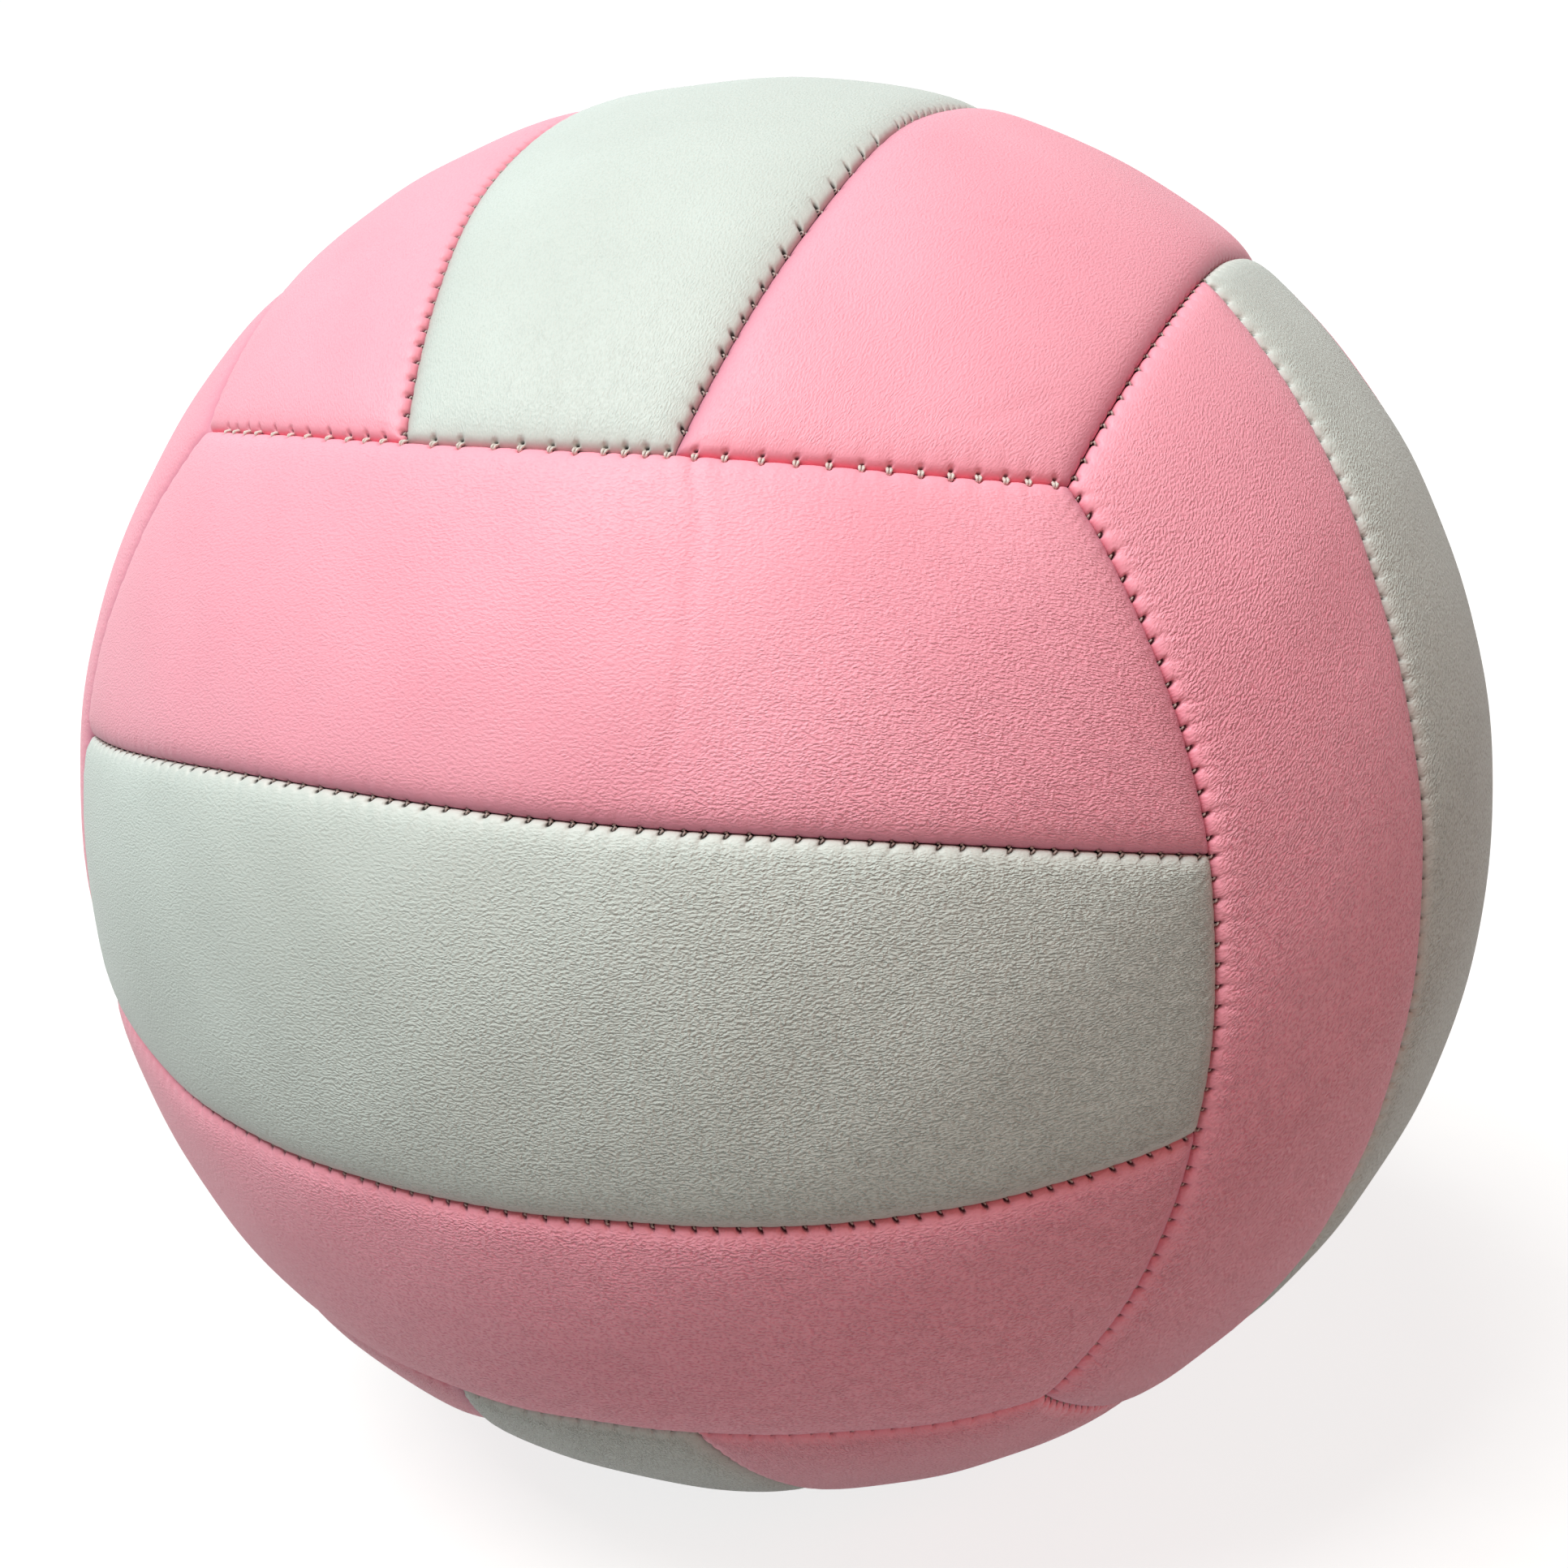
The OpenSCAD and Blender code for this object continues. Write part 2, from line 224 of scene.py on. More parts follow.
# The grain is deepest towards this side of the ball, and nearly pressed flat on the other; the
# painted shade in its valleys is darkest there too. Its depth half way, how fast it changes, and
# its limits
DEEP_GRAIN_SIDE = (0.7, -0.1, -0.9)
GRAIN_DEPTH, GRAIN_CHANGE = 0.85, 3.4
GRAIN_LIMITS = (0.45, 2.4)


def unit(vector):
    vector = np.asarray(vector, float)
    return vector / np.linalg.norm(vector)


def pulled(points):
    """Points of the ball, moved along its surface as the sewing has pulled them."""
    radius = np.linalg.norm(points, axis=1)[:, None]
    direction = points / radius
    moved = direction.copy()
    for place, pull in PULLS:
        gap = np.linalg.norm(direction - unit(place), axis=1)[:, None] * BALL_R
        moved += np.exp(-((gap / PULL_REACH) ** 2)) * np.array(pull) / BALL_R
    return moved / np.linalg.norm(moved, axis=1)[:, None] * radius


def strip_point(sigma, slope, offset):
    """The point of the unit ball where u = sigma (END_SLOPE w + END_OFFSET) and v = slope w + offset."""
    a = (sigma * END_SLOPE) ** 2 + slope**2 + 1
    b = 2 * (sigma**2 * END_SLOPE * END_OFFSET + slope * offset)
    c = (sigma * END_OFFSET) ** 2 + offset**2 - 1
    w = (-b + np.sqrt(b * b - 4 * a * c)) / (2 * a)
    return np.stack([sigma * (END_SLOPE * w + END_OFFSET), slope * w + offset, w], axis=-1)


class Seam:
    """A circle on the ball along which strips are sewn together, and the places of its stitches."""

    def __init__(self, axis, middle, corner, sewing, hooked, seed):
        self.axis, middle = unit(axis), unit(middle)
        self.polar = math.acos(self.axis @ middle)
        self.ahead = unit(middle - self.axis * (self.axis @ middle))
        self.beside = np.cross(self.axis, self.ahead)
        self.radius = BALL_R * math.sin(self.polar)
        self.half = abs(float(self.along(unit(corner))))
        self.by_hand, self.hooked = sewing == "hand", hooked
        random = np.random.default_rng(seed)
        reach = self.half - CORNER_GAP
        if sewing == "hand":
            self.places = HAND_START + np.concatenate([[0], np.cumsum(HAND_STEPS)])
            self.pulls = np.ones(len(self.places))
        elif sewing == "loose":
            runs = [np.arange(start, end, pitch) for start, end, pitch, pull in LOOSE_SEWING]
            self.places = np.concatenate(runs)
            self.pulls = np.concatenate([np.full(len(run), row[3]) for run, row in zip(runs, LOOSE_SEWING)])
        else:
            self.places = np.linspace(-reach, reach, round(2 * reach / MACHINE_PITCH) + 1)
            self.pulls = np.ones(len(self.places))
        self.places = self.places + random.normal(0, STITCH_WANDER, len(self.places))
        self.pulls = self.pulls * np.clip(random.normal(1, PULL_SPREAD, len(self.places)), 0.6, 1.4)
        self.steps = np.interp(self.places, (self.places[1:] + self.places[:-1]) / 2, np.diff(self.places))
        self.puckers = [[random.uniform(*limits) for limits in PUCKER_LIMITS] for _ in range(PUCKER_COUNT)]

    def across(self, point):
        """Distance from the seam, positive on the side away from its axis."""
        return BALL_R * (np.arccos(np.clip(point @ self.axis, -1, 1)) - self.polar)

    def along(self, point):
        """Distance along the seam from its middle."""
        return np.arctan2(point @ self.beside, point @ self.ahead) * self.radius

    def away(self, point):
        """Unit direction on the ball's surface that leads away from the seam's axis."""
        flat = (point @ self.axis)[:, None] * point - self.axis
        return flat / np.linalg.norm(flat, axis=1)[:, None]

    def place(self, along, across, depth):
        """A point by its distances along and across the seam and its depth, in millimetres."""
        polar = self.polar + across / BALL_R
        turn = along / self.radius
        ring = np.cos(turn)[:, None] * self.ahead + np.sin(turn)[:, None] * self.beside
        point = np.cos(polar)[:, None] * self.axis + np.sin(polar)[:, None] * ring
        return point * (BALL_R - depth)[:, None]

    def nearest_stitch(self, along):
        """Distance along the seam from the nearest stitch, that stitch's pull, and the step there."""
        later = np.clip(np.searchsorted(self.places, along), 1, len(self.places) - 1)
        take = np.where(along - self.places[later - 1] < self.places[later] - along, later - 1, later)
        return along - self.places[take], self.pulls[take], self.steps[take]

    def kind_of_side(self, side):
        if self.by_hand:
            return "hand outer" if side > 0 else "hand inner"
        return "hooked" if side == self.hooked else "plain"

    def holes(self, along, distance, side):
        """How far into a stitch hole a point lies, from 0 outside it to 1 in its middle."""
        offset, pull, _ = self.nearest_stitch(along)
        centre, reach, width, slant = HOLES[self.kind_of_side(side)]
        across = (distance - centre * np.sqrt(pull)) / (reach * np.sqrt(pull))
        return np.exp(-(((offset + slant * (distance - centre)) / width) ** 2) - across**2)


def world(group, point):
    return point @ np.array(GROUPS[group], float)


def group_seams():
    """The inner seams and the end seams of every group, by group and side."""
    inner, ends = {}, {}
    end_lean = math.atan(END_SLOPE)
    meet = strip_point(np.array(1.0), INNER_SLOPE, INNER_OFFSET)
    for number, group in enumerate(GROUPS):
        for sign in (-1, 1):
            inner[group, sign] = Seam(
                world(group, np.array([0, sign * math.cos(INNER_LEAN), -math.sin(INNER_LEAN)])),
                world(group, np.array([0, sign * math.sin(INNER_SEAM), math.cos(INNER_SEAM)])),
                world(group, meet * [1, sign, 1]),
                "loose" if (group, sign) == ("top", 1) else "even",
                -1 if (group, sign) in HOOKED_INSIDE else 1,
                100 + 10 * number + sign,
            )
            ends[group, sign] = Seam(
                world(group, np.array([sign * math.cos(end_lean), 0, -math.sin(end_lean)])),
                world(group, np.array([sign * math.sin(END_SEAM), 0, math.cos(END_SEAM)])),
                world(group, np.array([sign * CORNER, CORNER, CORNER])),
                "hand" if (group, sign) == ("top", 1) else "even",
                -1 if sign > 0 else 1,
                200 + 10 * number + sign,
            )
    return inner, ends


INNER, ENDS = group_seams()


def edges_of(group, strip):
    """The four seams round a strip, each with the side that the strip lies on."""
    edges = [(ENDS[group, 1], 1), (ENDS[group, -1], 1)]
    if strip == 0:
        return edges + [(INNER[group, 1], 1), (INNER[group, -1], 1)]
    side_middle = world(group, np.array([0, strip * math.cos(END_SEAM), math.sin(END_SEAM)]))

    def gap_to(seam):
        return abs(seam.across(side_middle)) + abs(seam.along(side_middle))

    return edges + [(INNER[group, strip], -1), (min(ENDS.values(), key=gap_to), -1)]


# The form of the leather


def rolled_edge(distance, radius):
    """How far a rolled edge of this radius has dropped, this far in from its outside."""
    inside = np.clip(radius - distance, 0, radius)
    return radius - np.sqrt(radius**2 - inside**2)


def smooth_noise(point, count, shortest, longest, seed):
    """Soft swells of about unit height, between two wavelengths in millimetres."""
    random = np.random.default_rng(seed)
    total = np.zeros(len(point))
    for _ in range(count):
        wave = unit(random.normal(size=3)) * 2 * math.pi / random.uniform(shortest, longest)
        total += np.sin(point @ wave * BALL_R + random.uniform(0, 6.3))
    return total / math.sqrt(count / 2)


def fold_marks(group, point):
    """Depth of the fold marks of a group at each point."""
    local = point @ np.array(GROUPS[group], float).T
    depth = np.zeros(len(point))
    for owner, run, width, deepest in FOLDS:
        if owner != group:
            continue
        along, across = np.radians(np.array(run)).T
        level = np.cos(along)
        marks = np.stack([np.sin(along), level * np.sin(across), level * np.cos(across)], axis=1)
        near = np.full(len(point), 1e9)
        for start, end in zip(marks[:-1], marks[1:]):
            step = end - start
            share = np.clip((local - start) @ step / (step @ step), 0, 1)
            gap = np.linalg.norm(local - start - share[:, None] * step, axis=1) * BALL_R
            near = np.minimum(near, gap)
        raised = np.exp(-(((near - RIDGE_PLACE * width) / width) ** 2))
        depth += deepest * (np.exp(-((near / width) ** 2)) - RIDGE_SHARE * raised)
    return depth


def drop_of_edges(edges, point):
    """How far the cover has sunk at each point towards its seams, without the stitches."""
    total = np.zeros(len(point))
    for seam, side in edges:
        distance = np.maximum(side * seam.across(point), 0)
        radius, dip = EDGES[seam.kind_of_side(side)]
        sunk = SLOPE_DEPTH * np.exp(-distance / SLOPE_REACH) + dip * np.exp(-distance / DIP_REACH)
        total += (sunk + rolled_edge(distance, radius)) ** 4
    return total**0.25


def leather(group, strip, point, wall_share=0.0):
    """Places each point of a strip on the face of its leather. A wall_share carries it down the hem."""
    edges = edges_of(group, strip)
    radius = BALL_R - drop_of_edges(edges, point)
    swell = smooth_noise(point, count=10, shortest=14, longest=45, seed=7)
    radius += SWELL_HEIGHT * swell - fold_marks(group, point)
    moved = point.copy()
    for seam, side in edges:
        distance = np.maximum(side * seam.across(point), 0)
        along = seam.along(point)
        offset, pull, step = seam.nearest_stitch(along)
        ends = np.clip((seam.half - np.abs(along)) / CORNER_FADE, 0, 1)
        radius -= HOLE_DEPTH * seam.holes(along, distance, side) * np.sqrt(pull)
        hold = PLAIN_HOLD if seam.kind_of_side(side) == "plain" else 1.0
        dimple = np.exp(-((offset / DIMPLE_LENGTH) ** 2))
        radius -= DIMPLE_DEPTH * hold * np.sqrt(pull) * dimple * np.exp(-distance / DIMPLE_REACH)
        # how hard the thread tugs: most at a stitch, and nothing half way between two
        tug = np.cos(math.pi * np.clip(offset / step, -0.5, 0.5)) ** 2 * np.sqrt(pull)
        radius -= HOLLOW_DEPTH * hold * tug * np.exp(-distance / HOLLOW_REACH)
        crinkle = sum(
            height * np.sin(2 * math.pi * (along + slant * distance) / wave + phase)
            for wave, slant, phase, height in seam.puckers
        )
        pucker = PUCKER_HEIGHT * crinkle * ends * np.exp(-distance / PUCKER_REACH)
        radius += pucker * (1 - np.exp(-distance / PUCKER_START))
        notch = np.exp(-((offset / NOTCH_LENGTH) ** 2)) * np.exp(-distance / NOTCH_REACH) * np.sqrt(pull)
        drawn = DRAW_DEPTH * tug * ends * np.exp(-distance / DRAW_REACH)
        shift = hold * (NOTCH_DEPTH * notch + drawn) + TUCK_DEPTH * np.exp(-distance / TUCK_REACH)
        moved += side * seam.away(point) * (shift * (1 - wall_share) / BALL_R)[:, None]
    moved /= np.linalg.norm(moved, axis=1)[:, None]
    radius = np.maximum(radius, BALL_R - DEEPEST_FACE)
    radius += wall_share * (BALL_R - HEM_DEPTH - radius)
    return moved * radius[:, None]


# Strips as closed shells


class StripLayout:
    """Turns shares along and across a strip, and an inset from its edges, to points of the unit ball."""

    def __init__(self, group, strip):
        inner, outer = (INNER_SLOPE, INNER_OFFSET), (SIDE_SLOPE, SIDE_OFFSET)
        low, high = {0: (inner, inner), 1: (inner, outer), -1: (outer, inner)}[strip]
        self.low = np.array(low) * (-1 if strip <= 0 else 1)
        self.high = np.array(high) * (-1 if strip < 0 else 1)
        self.group = group
        shares = np.linspace(0, 1, 65)
        self.shares = shares
        self.lengths = [self.run(shares, np.full(65, share)) for share in shares]
        self.widths = [self.run(np.full(65, share), shares) for share in shares]

    def local(self, along, across):
        angle = (2 * along - 1) * END_SEAM
        sigma = np.sin(angle) / (END_SLOPE * np.cos(angle) + END_OFFSET)
        slope = (1 - across) * self.low[0] + across * self.high[0]
        offset = (1 - across) * self.low[1] + across * self.high[1]
        return strip_point(sigma, slope, offset)

    def run(self, along, across):
        """Length of a line through these shares."""
        return BALL_R * np.linalg.norm(np.diff(self.local(along, across), axis=0), axis=1).sum()

    def point(self, along, across, inset):
        """The point at these shares of what is left inside the inset."""
        end_share = inset / np.interp(across, self.shares, self.lengths)
        side_share = inset / np.interp(along, self.shares, self.widths)
        return world(
            self.group,
            self.local(
                end_share + along * (1 - 2 * end_share),
                side_share + across * (1 - 2 * side_share),
            ),
        )


class Shell:
    """Gathers the vertices and faces of one closed piece."""

    def __init__(self):
        self.points, self.faces, self.count = [], [], 0

    def put(self, points):
        """Adds vertices and returns their numbers."""
        self.points.append(points)
        self.count += len(points)
        return np.arange(self.count - len(points), self.count)

    def band(self, first, second):
        """Joins two closed rows of vertices that are numbered alike."""
        quads = np.stack([first, np.roll(first, -1), np.roll(second, -1), second], axis=1)
        self.faces.extend(quads.tolist())

    def mesh(self, name):
        points = np.concatenate(self.points)
        mesh = bpy.data.meshes.new(name)
        mesh.from_pydata(pulled(points) * MM, [], self.faces)
        mesh.shade_smooth()
        return mesh, points


def square_shares(nx, ny):
    """Shares round a strip's edge: along the low side, up the far end, back and down."""
    x, y = np.arange(nx) / nx, np.arange(ny) / ny
    return (
        np.concatenate([x, np.ones(ny), 1 - x, np.zeros(ny)]),
        np.concatenate([np.zeros(nx), y, np.ones(nx), 1 - y]),
    )


def fill_middle(shell, rim, face, nx, ny, fine, turned, hole):
    """Fills the inside of a rim with an nx by ny net, whose outer cells take the rim's finer steps.

    face gives the points at shares along and across. With a hole, the net ends in a round edge,
    whose row of vertices is returned.
    """
    along, across = np.meshgrid(np.arange(1, nx) / nx, np.arange(1, ny) / ny, indexing="ij")
    number = np.full((nx + 1, ny + 1), -1)
    number[1:nx, 1:ny] = shell.put(face(along.ravel(), across.ravel())).reshape(nx - 1, ny - 1)
    low, far = rim[: nx * fine + 1], rim[nx * fine : (nx + ny) * fine + 1]
    high = rim[(nx + ny) * fine : (2 * nx + ny) * fine + 1][::-1]
    near = np.append(rim[(2 * nx + ny) * fine :], rim[0])[::-1]
    number[:, 0], number[nx, :] = low[::fine], far[::fine]
    number[:, ny], number[0, :] = high[::fine], near[::fine]
    i0 = i1 = j0 = j1 = 0
    if hole:
        i0, i1 = nx // 2 - hole[0], nx // 2 + hole[0]
        j0, j1 = ny // 2 - hole[1], ny // 2 + hole[1]
    for i in range(nx):
        for j in range(ny):
            if i0 <= i < i1 and j0 <= j < j1:
                continue
            x, y = i * fine, j * fine
            bottom = low[x : x + fine] if j == 0 else number[i : i + 1, j]
            right = far[y : y + fine] if i == nx - 1 else number[i + 1, j : j + 1]
            top = high[x + 1 : x + fine + 1][::-1] if j == ny - 1 else number[i + 1 : i + 2, j + 1]
            left = near[y + 1 : y + fine + 1][::-1] if i == 0 else number[i, j + 1 : j + 2]
            cell = [*bottom.tolist(), *right.tolist(), *top.tolist(), *left.tolist()]
            shell.faces.append(cell[::-1] if turned else cell)
    if not hole:
        return None
    return np.concatenate(
        [
            number[i0:i1, j0],
            number[i1, j0:j1],
            number[i0 + 1 : i1 + 1, j1][::-1],
            number[i0, j0 + 1 : j1 + 1][::-1],
        ]
    )


def round_hole(shell, square, layout, surface, turned):
    """Closes a square gap in a net down to the valve's round hole, and returns the hole's edge."""
    points = np.concatenate(shell.points)[square]
    out = np.array(GROUPS[layout.group][2], float)
    flat = points - (points @ out)[:, None] * out
    round_edge = flat / np.linalg.norm(flat, axis=1)[:, None] * VALVE_HOLE_R
    row = square
    for share in VALVE_HOLE_ROWS:
        at = (1 - share) * flat + share * round_edge
        radial = np.linalg.norm(at, axis=1) - VALVE_HOLE_R
        point = (at + np.sqrt(BALL_R**2 - (at**2).sum(1))[:, None] * out) / BALL_R
        face = surface(point)
        if not turned:
            face *= 1 - (rolled_edge(np.maximum(radial, 0), 0.5) / BALL_R)[:, None]
        new = shell.put(face)
        if turned:
            shell.band(new, row)
        else:
            shell.band(row, new)
        row = new
    return row


def closed_strip(name, group, strip, rows, top_face, under_face, nx, ny, fine):
    """A strip's closed shell: its top, its rows from the top's rim to the underside's, and its underside.

    rows is a list of (inset, function from unit points to places). The first row is the top's
    rim, and the last is the underside's. The net has nx by ny cells, and the rim takes fine steps
    to a cell.
    """
    layout = StripLayout(group, strip)
    shell = Shell()
    along, across = square_shares(nx * fine, ny * fine)
    rims = []
    for inset, surface in rows:
        rims.append(shell.put(surface(layout.point(along, across, inset))))
        if len(rims) > 1:
            shell.band(rims[-1], rims[-2])
    valve = (group, strip) == ("back", 0)
    middle = len(layout.shares) // 2
    pitch = (layout.lengths[middle] / nx, layout.widths[middle] / ny)
    hole = tuple(math.ceil((VALVE_HOLE_R + VALVE_GAP_MARGIN) / step) for step in pitch) if valve else None
    edge = []
    sides = ((rims[0], rows[0][0], top_face, False), (rims[-1], rows[-1][0], under_face, True))
    for rim, inset, face, turned in sides:

        def placed(x, y, inset=inset, face=face):
            return face(layout.point(x, y, inset))

        square = fill_middle(shell, rim, placed, nx, ny, fine, turned, hole)
        if valve:
            edge.append(round_hole(shell, square, layout, face, turned))
    if valve:
        shell.band(edge[0], edge[1])
    mesh, points = shell.mesh(name)
    note_places(mesh, points, group, strip)
    return mesh


def note_places(mesh, points, group, strip):
    """Stores what the materials need at each vertex.

    strip_place is its place along and across the grain, seam_gap its distance from the nearest
    seam, hole_dark how much painted shade, with some dirt, it gets in a stitch hole or deep in a
    seam, crease_bounce_light how much painted bounce light it gets from the facing edge in a seam,
    seam_shade how much painted shade, with some grime, it gets on a side without thread, and
    grain_depth how deep the grain is pressed and how dark the painted shade in its valleys is.
    """
    direction = points / np.linalg.norm(points, axis=1)[:, None]
    local = direction @ np.array(GROUPS[group], float).T
    lane = 40 * strip + 211 * list(GROUPS).index(group)
    along = np.arcsin(np.clip(local[:, 0], -1, 1)) * BALL_R
    across = np.arctan2(local[:, 1], local[:, 2]) * BALL_R
    turn = math.radians(GRAIN_TURN.get(group, 0))
    place = np.stack(
        [
            math.cos(turn) * along + math.sin(turn) * across,
            math.cos(turn) * across - math.sin(turn) * along,
            np.full(len(points), float(lane)),
        ],
        axis=1,
    )
    edges = edges_of(group, strip)
    gap = np.min([np.abs(seam.across(direction)) for seam, _ in edges], axis=0)
    # painted shade, with some dirt, where the hem lies deep in a seam and in the stitch holes
    sunk = BALL_R - np.linalg.norm(points, axis=1)
    dark = np.clip((sunk - 2.2) / 0.5, 0, 1) * (gap < 0.45)
    # painted bounce light from the facing edge along every seam, and no painted seam shade yet
    painted_bounce, shade = 0.3 * np.exp(-gap / 0.5), np.zeros(len(points))
    grain = np.clip(GRAIN_DEPTH + GRAIN_CHANGE * direction @ unit(DEEP_GRAIN_SIDE), *GRAIN_LIMITS)
    for seam, side in edges:
        across = side * seam.across(direction)
        pierced = seam.holes(seam.along(direction), across, side) * (across < 3)
        dark = np.maximum(dark, pierced * (0.6 if seam.by_hand else 1))
        if seam.by_hand:
            # the closing seam shows more of its fold on the top group's side, so its painted bounce light is
            # stronger and wider there
            share, reach = (0.42, 0.8) if side > 0 else (0.2, 0.4)
            painted_bounce = np.maximum(painted_bounce, share * np.exp(-np.abs(across) / reach))
        elif seam.kind_of_side(side) == "plain":
            # painted shade, with some grime, on a side without thread, where its edge rolls away from the
            # light
            shade = np.maximum(shade, 0.75 * np.exp(-((np.maximum(across, 0) / 1.4) ** 1.5)))
    stored = mesh.attributes.new("strip_place", "FLOAT_VECTOR", "POINT")
    stored.data.foreach_set("vector", place.astype(np.float32).ravel())
    values = {
        "seam_gap": gap,
        "hole_dark": dark,
        "crease_bounce_light": painted_bounce,
        "seam_shade": shade,
        "grain_depth": grain,
    }
    for name, value in values.items():
        stored = mesh.attributes.new(name, "FLOAT", "POINT")
        stored.data.foreach_set("value", value.astype(np.float32))


def panel_mesh(name, group, strip):
    """Leather that turns in at its edges: face, rolled edge, hem and underside."""
    insets = (3.6, 2.9, 2.35, 1.9, 1.5, 1.18, 0.92, 0.7, 0.52, 0.37, 0.25, 0.15, 0.07, 0.02, 0.0)
    edges = edges_of(group, strip)

    def face(point):
        return leather(group, strip, point)

    def wall(share):
        return lambda point: leather(group, strip, point, share)

    def at_depth(depth):
        return lambda point: point * (BALL_R - depth)

    def underside(point):
        return point * (BALL_R - SKIN - drop_of_edges(edges, point))[:, None]

    rows = [(inset, face) for inset in insets]
    rows += [(0.0, wall(share)) for share in (0.15, 0.4, 0.75)]
    rows += [(0.1, at_depth(COVER_DEPTH)), (HEM, at_depth(COVER_DEPTH)), (HEM + 0.1, underside)]
    return closed_strip(name, group, strip, rows, face, underside, nx=160, ny=40, fine=6)


def foam_mesh(name, group, strip):
    """A foam pad that swells under the leather and is pinched at its edges."""
    edges = edges_of(group, strip)

    def top(point):
        return point * (BALL_R - SKIN - 0.12 - drop_of_edges(edges, point))[:, None]

    def under(point):
        return point * (BALL_R - COVER_DEPTH + 0.02)

    rows = [(3.4, top), (2.7, top), (2.3, lambda point: top(point) * (1 - 0.25 / BALL_R))]
    rows += [(2.25, lambda point: point * (BALL_R - 2.8)), (2.5, under)]
    return closed_strip(name, group, strip, rows, top, under, nx=96, ny=28, fine=1)


def lining_mesh(name, group, strip):
    """A piece of woven cloth under one strip."""

    def top(point):
        return point * (BALL_R - LINING_TOP)

    def under(point):
        return point * (BALL_R - LINING_BOTTOM)

    rows = [(0.25, top), (0.12, lambda point: top(point) * 0.9985), (0.25, under)]
    return closed_strip(name, group, strip, rows, top, under, nx=64, ny=20, fine=1)


# Thread


def thread_tube(shell, path, radius, sides=8, ply_turn=0.9):
    """A two-ply thread along a path: two lobes that twist once in ply_turn millimetres."""
    steps = np.diff(path, axis=0)
    tangent = np.vstack([steps[:1], steps[:-1] + steps[1:], steps[-1:]])
    tangent /= np.linalg.norm(tangent, axis=1)[:, None]
    run = np.concatenate([[0], np.cumsum(np.linalg.norm(steps, axis=1))])
    side = np.cross(tangent[0], [0.3, 0.5, 0.81])
    sides_of_path = []
    for direction in tangent:
        side = side - direction * (side @ direction)
        side /= np.linalg.norm(side)
        sides_of_path.append(side)
    side = np.array(sides_of_path)
    other = np.cross(tangent, side)
    previous = None
    turn = np.arange(sides) * 2 * math.pi / sides
    for at, a, b, gone in zip(path, side, other, run):
        lobe = radius * (1 + 0.14 * np.cos(2 * (turn - math.pi * gone / ply_turn)))
        ring = shell.put(at + (np.cos(turn) * lobe)[:, None] * a + (np.sin(turn) * lobe)[:, None] * b)
        if previous is None:
            shell.faces.append(ring[::-1].tolist())
        else:
            shell.band(previous, ring)
        previous = ring
    shell.faces.append(previous.tolist())


def lockstitch(shell, seam):
    """The two threads of a machine seam.

    Each runs behind its own hem and comes to the seam at every stitch.
    """
    # offsets along the seam, distances across it and depths, for one stitch of the thread that
    # hooks over its strip and of the one that only dips to the seam
    hook = [(-0.95, 2.0, 2.9), (-0.5, 1.7, 2.9), (-0.36, 1.0, 2.7), (-0.28, 0.72, 2.3), (-0.18, 0.5, 2.05)]
    hook += [(-0.05, 0.28, 1.84), (0.06, 0.08, 1.82), (0.12, 0.1, 2.05), (0.16, 0.5, 2.5), (0.35, 1.9, 2.9)]
    dip = [(-0.95, 2.0, 2.9), (-0.35, 1.9, 2.9), (-0.18, 1.0, 2.85), (-0.1, 0.5, 2.6), (-0.05, 0.06, 2.0)]
    dip += [(0.05, 0.06, 2.0), (0.1, 0.5, 2.6), (0.18, 1.0, 2.85), (0.35, 1.9, 2.9)]
    for side in (-1, 1):
        shape = np.array(hook if side == seam.hooked else dip)
        path = np.concatenate([shape + [place, 0, 0] for place in seam.places + 0.06 * side])
        points = seam.place(path[:, 0], side * path[:, 1], path[:, 2])
        thread_tube(shell, points, MACHINE_THREAD_R, sides=6)


def hand_stitches(shell, seam):
    """Crossing stitches of the closing seam.

    Each is a doubled thread from a hole in one strip over to the other.
    """
    # distances across the seam, depths, and how far the two strands part, along one stitch
    across = np.array([0.82, 0.66, 0.46, 0.24, 0.02, -0.18, -0.34, -0.45, -0.5])
    depth = np.array([2.9, 2.5, 2.1, 1.72, 1.46, 1.36, 1.46, 1.75, 2.2])
    spread = np.array([0.4, 0.7, 1.05, 1.35, 1.4, 1.25, 1.0, 0.7, 0.5])
    knots, fine = np.linspace(0, 1, len(across)), np.linspace(0, 1, 33)
    for place, pull in zip(seam.places, seam.pulls):
        for strand in (-STRAND_OFFSET, STRAND_OFFSET):
            row = [smooth_through(knots, values, fine) for values in (across, depth, spread)]
            along = place + strand * row[2] + 0.1 * fine
            points = seam.place(along, row[0], row[1] + 0.1 * (pull - 1))
            thread_tube(shell, points, HAND_THREAD_R, ply_turn=0.8)


def smooth_through(knots, values, fine):
    """Values between knots, along a curve without corners."""
    slopes = np.gradient(values, knots)
    later = np.clip(np.searchsorted(knots, fine), 1, len(knots) - 1)
    step = knots[later] - knots[later - 1]
    t = (fine - knots[later - 1]) / step
    start, end = values[later - 1], values[later]
    return (
        start * (1 + 2 * t) * (1 - t) ** 2
        + end * t**2 * (3 - 2 * t)
        + step * (slopes[later - 1] * t * (1 - t) ** 2 - slopes[later] * t**2 * (1 - t))
    )


# Materials


def srgb(swatch):
    """A swatch colour such as #f7a0b1, turned to linear light."""
    parts = [int(swatch[start : start + 2], 16) / 255 for start in (1, 3, 5)]
    return (*(part / 12.92 if part <= 0.04045 else ((part + 0.055) / 1.055) ** 2.4 for part in parts), 1.0)


